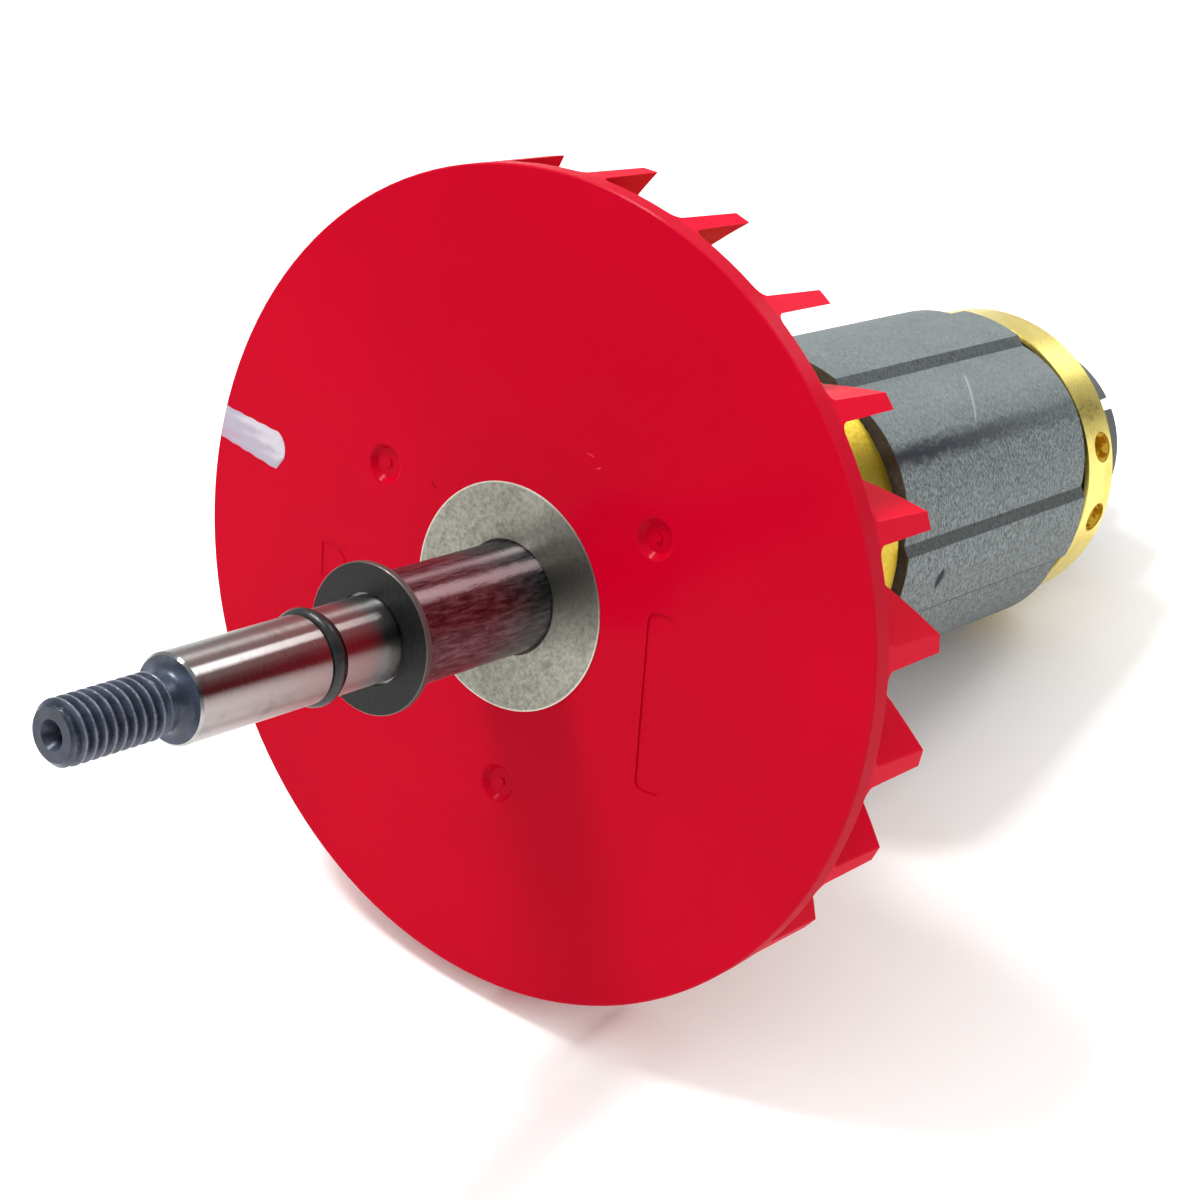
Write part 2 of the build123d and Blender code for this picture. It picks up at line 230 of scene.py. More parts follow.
class RotorSizes(bpy.types.PropertyGroup):
    """The sizes of what the solids leave out."""

    thread_pitch: length_setting("Thread pitch", "Distance between neighbouring crests", 1.411)
    paint_length: length_setting("Paint length", "How far the stroke runs in from the rim", 12.8)
    paint_width: length_setting("Paint width", "Width of the stroke at the rim", 4.66)
    paint_height: length_setting("Paint height", "Thickness of the paint film", 0.08)
    paint_angle: angle_setting("Paint angle", "Place of the stroke on the fan's rim", -83.8)
    paint_heading: angle_setting("Paint heading", "Direction that the stroke runs in", 94.6)


class RotorColours(bpy.types.PropertyGroup):
    """The colours of the finishes."""

    fan_red: colour_setting("Fan red", "Moulded plastic of the fan", 173, 0, 30)
    ground_steel: colour_setting("Ground steel", "Bright step, seat and journal", 170, 169, 168)
    phosphate: colour_setting("Phosphate", "Black coat of the thread and its shoulder", 58, 66, 83)
    turned_steel: colour_setting("Turned steel", "Flange of the fan's bush", 148, 148, 138)
    black_oxide: colour_setting("Black oxide", "Thrust washer", 30, 30, 30)
    rubber: colour_setting("Rubber", "Seal ring", 28, 28, 29)
    brass: colour_setting("Brass", "Balance rings", 235, 217, 118)
    lamination: colour_setting("Lamination", "Varnished stack", 114, 123, 124)
    dark_disc: colour_setting("Dark disc", "Slotted disc behind the rear ring", 78, 82, 82)
    nickel: colour_setting("Nickel", "Plating of the magnets", 196, 194, 188)
    paint: colour_setting("Paint", "White stroke on the fan", 159, 152, 165)
    floor: colour_setting("Floor", "Surface that the rotor lies on", 246, 244, 242)


def rotor_points(station, radius, angle):
    """Points, in metres, at stations along the axis, radii from it and angles in radians about it."""
    station, radius, angle = np.broadcast_arrays(station, radius, angle)
    along = station[..., None] * AXIS
    upward = (radius * np.cos(angle))[..., None] * UP
    sideways = (radius * np.sin(angle))[..., None] * SIDE
    return ORIGIN + MM * (along + upward + sideways)


def build_mesh(name, points, faces, materials, indices=None):
    """Makes an object at the origin from points, faces, its materials and each face's material."""
    mesh = bpy.data.meshes.new(name)
    mesh.from_pydata(points.reshape(-1, 3).tolist(), [], faces)
    for material in materials:
        mesh.materials.append(material)
    if indices is not None:
        mesh.polygons.foreach_set("material_index", np.asarray(indices, np.int32))
    mesh.polygons.foreach_set("use_smooth", np.ones(len(mesh.polygons), bool))
    mesh.update()
    mesh.set_sharp_from_angle(angle=SHARP_ANGLE)
    piece = bpy.data.objects.new(name, mesh)
    bpy.context.scene.collection.objects.link(piece)
    return piece


def ring_quads(rows, columns):
    """The quads of a grid whose columns run round and close, wound so that they face outwards."""
    row, column = np.meshgrid(np.arange(rows - 1), np.arange(columns), indexing="ij")
    after = (column + 1) % columns
    corners = [row * columns + column, row * columns + after]
    corners += [(row + 1) * columns + after, (row + 1) * columns + column]
    return np.stack(corners, axis=-1).reshape(-1, 4)


def capped_rings(name, rings, start, end, materials, row_material):
    """A closed skin of rings of points, with one point at each end that its fan of triangles meets."""
    rows, columns = rings.shape[:2]
    points = np.concatenate([rings.reshape(-1, 3), [start], [end]])
    column = np.arange(columns)
    after = (column + 1) % columns
    first = rows * columns
    last = (rows - 1) * columns
    faces = ring_quads(rows, columns).tolist()
    faces += np.stack([np.full(columns, first), after, column], axis=1).tolist()
    faces += np.stack([last + column, last + after, np.full(columns, first + 1)], axis=1).tolist()
    per_quad = np.repeat(row_material[:-1], columns)
    ends = np.repeat([row_material[0], row_material[-1]], columns)
    return build_mesh(name, points, faces, materials, np.concatenate([per_quad, ends]))


class Nodes:
    """A node tree in the making: each method adds nodes and returns the socket with their result."""

    def __init__(self, tree):
        self.tree = tree

    def node(self, kind, inputs, output=0, **settings):
        """Adds a node with its settings and its inputs, which are values or sockets."""
        node = self.tree.nodes.new(kind)
        for key, value in settings.items():
            setattr(node, key, value)
        for key, value in inputs.items():
            if isinstance(value, bpy.types.NodeSocket):
                self.tree.links.new(value, node.inputs[key])
            else:
                node.inputs[key].default_value = value
        return node.outputs[output]

    def math(self, operation, first, second=0.0):
        """One sum of two numbers."""
        return self.node("ShaderNodeMath", {0: first, 1: second}, operation=operation)

    def dot(self, vector, direction):
        """How far a vector reaches in a direction."""
        inputs = {0: vector, 1: tuple(direction)}
        return self.node("ShaderNodeVectorMath", inputs, output="Value", operation="DOT_PRODUCT")

    def mix(self, share, first, second):
        """A blend of two colours by a share from 0 to 1."""
        inputs = {0: share, 6: first, 7: second}
        return self.node("ShaderNodeMix", inputs, output=2, data_type="RGBA")


class Finish(Nodes):
    """A node material in the making, with patterns and masks laid out on the rotor."""

    def __init__(self, name, colour, **values):
        self.material = bpy.data.materials.new(name)
        self.material.use_nodes = True
        super().__init__(self.material.node_tree)
        self.shader = self.tree.nodes["Principled BSDF"]
        self.material.diffuse_color = (*colour, 1.0)
        self.set("Base Color", (*colour, 1.0))
        for key, value in values.items():
            self.set(key.replace("_", " "), value)
        self.colour = (*colour, 1.0)

    def set(self, socket, value):
        """Gives one of the shader's sockets a value or a link."""
        if isinstance(value, bpy.types.NodeSocket):
            self.tree.links.new(value, self.shader.inputs[socket])
        else:
            self.shader.inputs[socket].default_value = value

    def place(self):
        """Object coordinates turned to the rotor's axes, in millimetres: station, far side, up."""
        where = self.node("ShaderNodeTexCoord", {}, output="Object")
        turn = Matrix.Rotation(-LEAN, 3, "Y")
        centre = turn @ Vector(ORIGIN)
        return self.node(
            "ShaderNodeMapping",
            {
                "Vector": where,
                "Location": tuple(-centre / MM),
                "Rotation": (0.0, -LEAN, 0.0),
                "Scale": (1 / MM, 1 / MM, 1 / MM),
            },
        )

    def polar(self):
        """The station, radius and angle of the shaded point: millimetres and degrees."""
        parts = self.tree.nodes.new("ShaderNodeSeparateXYZ")
        self.tree.links.new(self.place(), parts.inputs[0])
        far, up = parts.outputs["Y"], parts.outputs["Z"]
        squares = self.math("ADD", self.math("MULTIPLY", far, far), self.math("MULTIPLY", up, up))
        near = self.math("MULTIPLY", far, -1.0)
        angle = self.math("MULTIPLY", self.math("ARCTAN2", near, up), math.degrees(1.0))
        return parts.outputs["X"], self.math("SQRT", squares), angle

    def stretch(self, along, around):
        """Rotor coordinates scaled along the axis and around it, for a pattern drawn out one way."""
        return self.node(
            "ShaderNodeVectorMath",
            {0: self.place(), 1: (along, around, around)},
            operation="MULTIPLY",
        )

    def noise(self, vector, scale, detail=2.0, roughness=0.5):
        """Fractal noise from 0 to 1."""
        inputs = {"Vector": vector, "Scale": scale, "Detail": detail, "Roughness": roughness}
        return self.node("ShaderNodeTexNoise", inputs, output="Fac")

    def step(self, value, low, high, bottom=0.0, top=1.0):
        """A smooth change from bottom to top while the value goes from low to high."""
        return self.node(
            "ShaderNodeMapRange",
            {"Value": value, "From Min": low, "From Max": high, "To Min": bottom, "To Max": top},
            interpolation_type="SMOOTHSTEP",
        )

    def shade(self, factor):
        """The finish's own colour made lighter or darker by a factor."""
        return tuple(min(1.0, value * factor) for value in self.colour[:3]) + (1.0,)

    def bump(self, height, millimetres, strength=1.0, below=None):
        """A normal that follows a height from 0 to 1 of so many millimetres."""
        inputs = {"Height": height, "Distance": millimetres * MM, "Strength": strength}
        if below is not None:
            inputs["Normal"] = below
        return self.node("ShaderNodeBump", inputs)

    def turned_tangent(self):
        """The direction across the tool marks of a turned piece, on its rims and faces alike.

        The marks run round the axis, so the direction is the normal crossed with the marks' own.
        """
        where = self.node("ShaderNodeTexCoord", {}, output="Object")
        inputs = {0: where, 1: tuple(ORIGIN)}
        offset = self.node("ShaderNodeVectorMath", inputs, operation="SUBTRACT")
        inputs = {0: tuple(AXIS), 1: offset}
        marks = self.node("ShaderNodeVectorMath", inputs, operation="CROSS_PRODUCT")
        normal = self.node("ShaderNodeNewGeometry", {}, output="Normal")
        inputs = {0: normal, 1: marks}
        across = self.node("ShaderNodeVectorMath", inputs, operation="CROSS_PRODUCT")
        return self.node("ShaderNodeVectorMath", {0: across}, operation="NORMALIZE")

    def spot(self, station, radius, angle, long, wide, lean=0.0, tilt=0.0):
        """A mask that is 1 inside a small oval on the rotor and 0 outside it, sizes in millimetres."""
        height = radius * math.cos(math.radians(angle))
        near = radius * math.sin(math.radians(angle))
        inputs = {
            "Vector": self.place(),
            "Location": (station, -near, height),
            "Rotation": (math.radians(lean), math.radians(tilt), 0.0),
            "Scale": (wide, wide, long),
        }
        oval = self.node("ShaderNodeMapping", inputs, vector_type="TEXTURE")
        reach = self.node("ShaderNodeVectorMath", {0: oval}, output="Value", operation="LENGTH")
        return self.step(reach, 0.6, 1.0, 1.0, 0.0)

    def face_spot(self, radius, angle, long, wide, lean):
        """The same mask laid on the fan's face."""
        return self.spot(face_station(radius), radius, angle, long, wide, lean)


def red_plastic(colours):
    """Satin moulded plastic with a few handling marks; the thin blades are painted lighter and the rim
    paler as painted light.
    """
    finish = Finish("red_plastic", colours.fan_red, Roughness=0.45, Specular_IOR_Level=0.01)
    finish.set("Coat Weight", 0.06)
    finish.set("Coat Roughness", 0.16)
    station, radius, _ = finish.polar()
    cloud = finish.noise(finish.place(), 0.035, 3.0)
    base = finish.mix(finish.step(cloud, 0.35, 0.7), finish.colour, finish.shade(1.08))
    # Painted light: the blades are painted lighter for the light that they catch.
    blades = finish.step(station, 2.4, 3.4)
    base = finish.mix(blades, base, finish.shade(1.42))
    # Painted highlight: a pale pink band where the rim's edge catches the light.
    rim = finish.step(radius, FAN_R - 0.35, FAN_R - 0.05)
    base = finish.mix(finish.math("MULTIPLY", rim, 0.08), base, tone(255, 70, 96))
    nick = finish.face_spot(18.4, -55.3, long=0.95, wide=0.16, lean=-55.3)
    base = finish.mix(finish.math("MULTIPLY", nick, 0.8), base, tone(90, 0, 18))
    long_rub = finish.face_spot(24.8, 22.0, long=0.8, wide=0.14, lean=100.0)
    short_rub = finish.face_spot(24.3, 26.6, long=0.5, wide=0.16, lean=60.0)
    rub = finish.math("ADD", long_rub, short_rub)
    base = finish.mix(finish.math("MULTIPLY", rub, 0.35), base, tone(250, 70, 90))
    finish.set("Base Color", base)
    grain = finish.noise(finish.place(), 2.4, 4.0, 0.6)
    scuffs = finish.noise(finish.stretch(0.12, 0.9), 0.35, 3.0)
    finish.set("Roughness", finish.step(scuffs, 0.3, 0.75, 0.4, 0.52))
    finish.set("Normal", finish.bump(grain, 0.012, 0.6))
    return finish.material


def ground_steel(colours):
    """Steel ground round the axis, with fine marks and stains, and painted reflection and highlights on
    the seat.
    """
    finish = Finish("ground_steel", colours.ground_steel, Metallic=1.0, Roughness=0.3, Anisotropic=1.0)
    marks = finish.noise(finish.stretch(9.0, 0.35), 1.0, 4.0, 0.65)
    stains = finish.noise(finish.place(), 0.35, 4.0, 0.6)
    base = finish.mix(finish.step(stains, 0.52, 0.78), finish.colour, finish.shade(0.72))
    base = finish.mix(finish.step(marks, 0.55, 0.8, 0.0, 0.2), base, finish.shade(0.6))
    station, _, angle = finish.polar()
    seat = finish.step(station, SEAT_FRONT, SEAT_FRONT + 0.2)
    wisps = finish.noise(finish.stretch(0.35, 2.2), 1.0, 5.0, 0.75)
    # Painted reflection: the seat is a dark purple grey for the red fan and the dark room that it
    # mirrors, greyer towards the fan.
    seat_painted_light = finish.mix(finish.step(wisps, 0.35, 0.65), tone(90, 78, 88), tone(134, 126, 133))
    seat_painted_light = finish.mix(finish.step(station, -10.0, -2.0, 0.0, 0.45), seat_painted_light, tone(78, 84, 84))
    matt = finish.step(wisps, 0.4, 0.7, 0.05, 0.3)
    # Painted highlights: pale, less metallic streaks where the lamps show on the seat.
    for middle, half, share in SEAT_PAINTED_HIGHLIGHTS:
        off = finish.math("ABSOLUTE", finish.math("SUBTRACT", angle, middle))
        off = finish.math("ADD", off, finish.math("MULTIPLY", wisps, 16.0))
        seat_highlight = finish.step(off, half + 9.0, half, 0.0, share)
        seat_painted_light = finish.mix(seat_highlight, seat_painted_light, tone(170, 154, 158))
        matt = finish.math("MAXIMUM", matt, seat_highlight)
    base = finish.mix(seat, base, seat_painted_light)
    matt = finish.math("MULTIPLY", matt, seat)
    finish.set("Metallic", finish.math("SUBTRACT", 1.0, finish.math("MULTIPLY", matt, 0.8)))
    finish.set("Base Color", base)
    finish.set("Roughness", finish.step(marks, 0.25, 0.8, 0.22, 0.28))
    finish.set("Tangent", finish.turned_tangent())
    finish.set("Normal", finish.bump(marks, 0.0015, 0.5))
    return finish.material


def phosphate(colours):
    """Black phosphated steel, blue-grey where light catches it, rubbed on crests and edges, painted
    lighter there partly as a highlight, and with painted shade in the roots.
    """
    finish = Finish("black_phosphate", colours.phosphate, Roughness=0.4, Metallic=0.25)
    grain = finish.noise(finish.place(), 3.2, 5.0, 0.7)
    blotch = finish.noise(finish.place(), 0.5, 3.0)
    base = finish.mix(finish.step(blotch, 0.35, 0.7), finish.shade(0.7), finish.shade(1.5))
    station, radius, _ = finish.polar()
    # The crests are lighter partly for real rubbing and partly as a painted highlight.
    crest = finish.step(radius, THREAD_R - 0.16, THREAD_R - 0.02)
    before_shoulder = finish.step(station, STEP_FRONT - NECK_LENGTH, STEP_FRONT - NECK_LENGTH - 0.2)
    rubbed = finish.math("MULTIPLY", crest, before_shoulder)
    rubbed = finish.math("MULTIPLY", rubbed, finish.step(grain, 0.35, 0.75, 0.3, 0.8))
    base = finish.mix(rubbed, base, tone(136, 139, 150))
    # Painted shade: the thread's roots are darkened where shade falls between the crests.
    root = finish.math("MULTIPLY", finish.step(radius, THREAD_R - 0.35, THREAD_R - 0.7), before_shoulder)
    base = finish.mix(finish.math("MULTIPLY", root, 0.6), base, finish.shade(0.3))
    finish.set("Base Color", base)
    finish.set("Roughness", finish.step(grain, 0.3, 0.75, 0.24, 0.42))
    finish.set("Normal", finish.bump(grain, 0.01, 0.6))
    return finish.material


def turned_steel(colours):
    """A faced steel flange: fine rings, arcs left by a tool, small dark pits and a painted highlight on
    its rim.
    """
    finish = Finish("turned_steel", colours.turned_steel, Metallic=1.0, Roughness=0.4, Anisotropic=0.8)
    _, radius, angle = finish.polar()
    rings = finish.node(
        "ShaderNodeTexNoise",
        {"W": finish.math("MULTIPLY", radius, 5.0), "Scale": 1.0, "Detail": 3.0},
        output="Fac",
        noise_dimensions="1D",
    )
    sweep = {"X": finish.math("MULTIPLY", radius, 1.1), "Y": finish.math("MULTIPLY", angle, 0.05)}
    arcs = finish.noise(finish.node("ShaderNodeCombineXYZ", sweep), 1.0, 4.0, 0.7)
    speckle = finish.noise(finish.place(), 1.6, 5.0, 0.75)
    pits = finish.noise(finish.place(), 1.1, 4.0, 0.7)
    base = finish.mix(finish.step(speckle, 0.36, 0.7), finish.shade(1.12), finish.shade(0.68))
    base = finish.mix(finish.step(arcs, 0.5, 0.72, 0.0, 0.55), base, finish.shade(0.5))
    base = finish.mix(finish.step(pits, 0.64, 0.72, 0.0, 0.6), base, finish.shade(0.3))
    # Painted highlight: a bright line along the flange's rim.
    edge = finish.step(radius, FLANGE_R - 0.3, FLANGE_R - 0.08)
    base = finish.mix(finish.math("MULTIPLY", edge, 0.7), base, tone(226, 222, 210))
    finish.set("Base Color", base)
    finish.set("Roughness", finish.step(speckle, 0.3, 0.75, 0.36, 0.5))
    finish.set("Tangent", finish.turned_tangent())
    lower = finish.bump(rings, 0.006, 0.6)
    finish.set("Normal", finish.bump(speckle, 0.01, 0.6, lower))
    return finish.material


def black_oxide(colours):
    """Black oxide on a stamped washer, satin, with a painted highlight on its outer edge."""
    finish = Finish("black_oxide", colours.black_oxide, Roughness=0.42, Metallic=0.6)
    _, radius, _ = finish.polar()
    grain = finish.noise(finish.place(), 1.6, 4.0, 0.65)
    # Painted highlight: a pale line along the washer's outer edge.
    edge = finish.step(radius, WASHER_R - 0.16, WASHER_R - 0.04)
    base = finish.mix(finish.step(grain, 0.35, 0.7), finish.colour, finish.shade(1.7))
    base = finish.mix(finish.math("MULTIPLY", edge, 0.55), base, tone(130, 128, 124))
    finish.set("Base Color", base)
    finish.set("Roughness", finish.step(grain, 0.3, 0.75, 0.34, 0.5))
    finish.set("Normal", finish.bump(grain, 0.008, 0.5))
    return finish.material


def rubber(colours):
    """Smooth black rubber with a dusty bloom."""
    finish = Finish("black_rubber", colours.rubber, Roughness=0.38, Specular_IOR_Level=0.5)
    bloom = finish.noise(finish.place(), 0.9, 4.0, 0.6)
    base = finish.mix(finish.step(bloom, 0.4, 0.75), finish.colour, finish.shade(1.9))
    finish.set("Base Color", base)
    finish.set("Roughness", finish.step(bloom, 0.35, 0.75, 0.3, 0.48))
    finish.set("Normal", finish.bump(finish.noise(finish.place(), 4.0, 3.0), 0.006, 0.5))
    return finish.material


def brass(colours):
    """Turned brass with lines round its rims: the front ring is dull, and the rear ring has its marks.

    Those are a smudge beside the drilled holes; the holes also take painted glints of gold, and the gap
    before the rim painted shade.
    """
    finish = Finish("brass", colours.brass, Metallic=1.0, Roughness=0.34, Anisotropic=0.55)
    station, radius, _ = finish.polar()
    marks = finish.noise(finish.stretch(7.0, 0.3), 1.0, 3.0, 0.6)
    speckle = finish.noise(finish.place(), 1.7, 5.0, 0.75)
    front = finish.step(station, CORE_FRONT - 0.4, CORE_FRONT - 0.8)
    dull = finish.step(speckle, 0.36, 0.66, 0.6, 1.0)
    base = finish.mix(finish.math("MULTIPLY", front, dull), finish.colour, tone(198, 166, 10))
    blotch = finish.noise(finish.place(), 0.16, 3.0)
    warm = finish.step(blotch, 0.42, 0.62, 0.0, 0.35)
    base = finish.mix(warm, base, tone(214, 180, 60))
    smudge = finish.spot(RIM_FRONT + 4.0, RING_R, 53.0, long=1.9, wide=4.2)
    wisps = finish.noise(finish.stretch(0.5, 0.9), 1.3, 4.0, 0.7)
    smudge = finish.math("MULTIPLY", smudge, finish.step(wisps, 0.4, 0.66, 0.1, 0.6))
    base = finish.mix(smudge, base, tone(146, 130, 56))
    hole = 0.0
    for turn in HOLE_ANGLES:
        spot = finish.spot(HOLE_STATION, HOLE_MIDDLE_R, turn, long=5.0, wide=4.4, lean=turn)
        hole = finish.math("MAXIMUM", spot, hole)
    hole = finish.math("MULTIPLY", hole, finish.step(radius, RING_R - 0.1, RING_R - 0.4))
    # Painted glints: the holes' walls get bright and dark gold patches and less metal, standing in for
    # the light they catch.
    depths = finish.noise(finish.place(), 0.7, 2.0)
    gold = finish.mix(finish.step(depths, 0.4, 0.5), tone(196, 136, 8), tone(255, 232, 96))
    base = finish.mix(hole, base, gold)
    # Painted shade: the rim's front edge is darkened for the shade in the gap between the stack and the
    # rim.
    behind_stack = finish.step(station, CORE_FRONT, CORE_REAR)
    seam = finish.math("MULTIPLY", finish.step(station, RIM_FRONT + 0.6, RIM_FRONT + 0.2), behind_stack)
    base = finish.mix(finish.math("MULTIPLY", seam, 0.75), base, tone(70, 58, 12))
    finish.set("Base Color", base)
    finish.set("Metallic", finish.math("SUBTRACT", 1.0, finish.math("MULTIPLY", hole, 0.72)))
    rough = finish.step(speckle, 0.3, 0.75, 0.24, 0.42)
    finish.set("Roughness", finish.math("ADD", rough, finish.math("MULTIPLY", front, 0.12)))
    finish.set("Tangent", finish.turned_tangent())
    lower = finish.bump(marks, 0.004, 0.5)
    finish.set("Normal", finish.bump(speckle, 0.006, 0.5, lower))
    return finish.material


def laminations(colours):
    """A varnished stack of thin sheets: grain drawn out along the sheets, painted shade on the flanks
    beside the teeth.

    A painted reflection of a dark thing runs along the middle of one pole, the front end face has painted
    shade, and there are a pen dash and a light scratch.
    """
    finish = Finish("lamination_steel", colours.lamination, Metallic=0.25, Roughness=0.6, Anisotropic=0.5)
    station, _, angle = finish.polar()
    turned = finish.math("ADD", angle, 360.0 + POLE_PITCH / 2 - POLE_ANGLE)
    from_pole = finish.math("SUBTRACT", finish.math("MODULO", turned, POLE_PITCH), POLE_PITCH / 2)
    from_pole = finish.math("ABSOLUTE", from_pole)
    flank = finish.math(
        "MULTIPLY",
        finish.step(from_pole, POLE_HALF_ANGLE - 0.2, POLE_HALF_ANGLE + 0.2),
        finish.step(from_pole, TOOTH_START + 0.3, TOOTH_START - 0.3),
    )
    sheet = finish.math("FRACT", finish.math("MULTIPLY", station, SHEETS_PER_MM))
    seam = finish.step(finish.math("ABSOLUTE", finish.math("SUBTRACT", sheet, 0.5)), 0.36, 0.5)
    grain = finish.noise(finish.stretch(3.6, 1.5), 1.0, 4.0, 0.85)
    cloud = finish.noise(finish.place(), 0.12, 3.0)
    light, dark = finish.shade(1.85), finish.shade(0.24)
    base = finish.mix(finish.step(grain, 0.38, 0.62), dark, light)
    smooth = finish.mix(finish.step(cloud, 0.3, 0.7), finish.shade(0.85), finish.colour)
    base = finish.mix(finish.step(angle, POLE_ANGLE - 12.0, POLE_ANGLE + 6.0, 0.4, 0.9), smooth, base)
    base = finish.mix(finish.math("MULTIPLY", seam, 0.25), base, finish.shade(0.4))
    # Painted shade: the flanks beside the teeth are darkened where they turn from the light.
    flank_painted_shade = finish.mix(finish.step(grain, 0.3, 0.7), finish.shade(0.12), finish.shade(0.85))
    base = finish.mix(flank, base, flank_painted_shade)
    # Painted reflection: a dark band along the middle of one pole stands in for a dark thing in the room,
    # strongest at the front.
    ragged = finish.math("MULTIPLY", finish.noise(finish.stretch(0.5, 0.9), 1.0, 4.0, 0.7), 9.0)
    from_dark_reflection = finish.math("ABSOLUTE", finish.math("SUBTRACT", angle, POLE_ANGLE + 0.6))
    drift = finish.math("ADD", from_dark_reflection, ragged)
    fading = finish.step(station, CORE_REAR, CORE_FRONT, 0.4, 1.0)
    painted_dark_reflection = finish.math("MULTIPLY", finish.step(drift, 10.5, 5.0), fading)
    base = finish.mix(painted_dark_reflection, base, tone(34, 38, 50))
    # Painted shade: the front end face is darkened to a brown, with painted reflection of the brass
    # before it.
    face = finish.step(station, CORE_FRONT + 0.3, CORE_FRONT + 0.1, 0.0, 0.85)
    base = finish.mix(face, base, tone(58, 47, 22))
    dash = finish.spot(68.6, 25.6, 94.9, long=1.9, wide=1.1, lean=4.9, tilt=25.0)
    base = finish.mix(dash, base, tone(10, 10, 30))
    from_middle = finish.math("SUBTRACT", angle, SCRATCH_ANGLE)
    slanted = finish.math("ADD", station, finish.math("MULTIPLY", from_middle, SCRATCH_SLANT))
    off = finish.math("ABSOLUTE", finish.math("SUBTRACT", slanted, SCRATCH_STATION))
    along = finish.math("ABSOLUTE", from_middle)
    reach = finish.step(along, SCRATCH_HALF_ANGLE, SCRATCH_HALF_ANGLE - 4.0)
    scratch = finish.math("MULTIPLY", finish.step(off, 0.42, 0.12), reach)
    base = finish.mix(finish.math("MULTIPLY", scratch, 0.5), base, tone(176, 182, 184))
    finish.set("Base Color", base)
    finish.set("Roughness", finish.step(grain, 0.3, 0.75, 0.52, 0.7))
    finish.set("Tangent", finish.turned_tangent())
    lower = finish.bump(seam, 0.02, 0.5)
    finish.set("Normal", finish.bump(grain, 0.02, 0.6, lower))
    return finish.material


def dark_disc(colours):
    """Matt dark moulding with fine turned lines."""
    finish = Finish("dark_disc", colours.dark_disc, Roughness=0.55)
    lines = finish.noise(finish.stretch(4.0, 0.4), 1.0, 3.0)
    grain = finish.noise(finish.place(), 2.2, 4.0, 0.6)
    base = finish.mix(finish.step(grain, 0.3, 0.7), finish.shade(0.75), finish.colour)
    finish.set("Base Color", base)
    finish.set("Roughness", finish.step(grain, 0.3, 0.7, 0.48, 0.62))
    finish.set("Normal", finish.bump(lines, 0.01, 0.5))
    return finish.material


def nickel(colours):
    """Nickel plating on the magnets, slightly clouded."""
    finish = Finish("nickel", colours.nickel, Metallic=1.0, Roughness=0.25)
    cloud = finish.noise(finish.place(), 0.6, 4.0)
    base = finish.mix(finish.step(cloud, 0.35, 0.7), finish.colour, finish.shade(0.8))
    finish.set("Base Color", base)
    finish.set("Roughness", finish.step(cloud, 0.3, 0.75, 0.18, 0.34))
    finish.set("Normal", finish.bump(finish.noise(finish.place(), 5.0, 3.0), 0.004, 0.4))
    return finish.material


def white_paint(colours):
    """White paint put on with one stroke, greyer and a little pink where it is thin."""
    finish = Finish("white_paint", colours.paint, Roughness=0.4, Specular_IOR_Level=0.4)
    film = finish.node("ShaderNodeAttribute", {}, output="Fac", attribute_name="film")
    brush = finish.noise(finish.place(), 0.5, 3.0, 0.6)
    cover = finish.math("ADD", film, finish.math("MULTIPLY", brush, 0.5))
    thin = tone(166, 136, 156)
    base = finish.mix(finish.step(cover, 0.35, 0.75), thin, finish.colour)
    base = finish.mix(finish.step(cover, 0.85, 1.3), base, tone(184, 179, 188))
    finish.set("Base Color", base)
    finish.set("Roughness", finish.step(brush, 0.3, 0.7, 0.34, 0.46))
    finish.set("Normal", finish.bump(brush, 0.015, 0.4))
    return finish.material


def thread_depth(station, angle, pitch):
    """How far a right-hand 60 degree thread lies below its crest at a station and an angle.

    The distance from the nearest crest, in pitches, gives a flat crest an eighth of a pitch wide, a
    straight flank and a root flat of a quarter, with both corners eased by a cosine.
    """
    turns = station / pitch - angle / (2 * np.pi)
    from_crest = np.abs((turns + 0.5) % 1.0 - 0.5)
    flank = np.clip((from_crest - 1 / 16) / (5 / 16), 0.0, 1.0)
    eased = 0.5 - 0.5 * np.cos(np.pi * flank)
    full = pitch * 5 / 16 * math.tan(math.radians(60.0))
    return full * (0.55 * flank + 0.45 * eased)


def thread_rows(pitch, angles):
    """Radii of the threaded end: the helix inside its end chamfer and faded out before the neck."""
    first = SHAFT_FRONT
    last = STEP_FRONT - NECK_LENGTH
    count = int((last - first) / pitch * ROWS_PER_PITCH)
    station = np.linspace(first, last, count)[:, None]
    angle = angles[None, :]
    runout = np.clip((last - station) / (1.2 * pitch), 0.0, 1.0)
    radius = THREAD_R - thread_depth(station, angle, pitch) * runout
    chamfer = THREAD_R - THREAD_CHAMFER + (station - first)
    radius = np.minimum(radius, chamfer)
    radius = np.minimum(radius, NECK_R + (last - station))
    return np.broadcast_to(station, radius.shape), radius


def centre_hole_profile(face, inward):
    """Stations and radii of a lathe centre from its drill tip's rim out to its mouth."""
    depths = (CENTRE_PILOT_DEPTH, CENTRE_CONE_LENGTH, 0.0)
    radii = (CENTRE_PILOT_R, CENTRE_PILOT_R, CENTRE_MOUTH_R)
    return [(face + inward * depth, radius) for depth, radius in zip(depths, radii)]


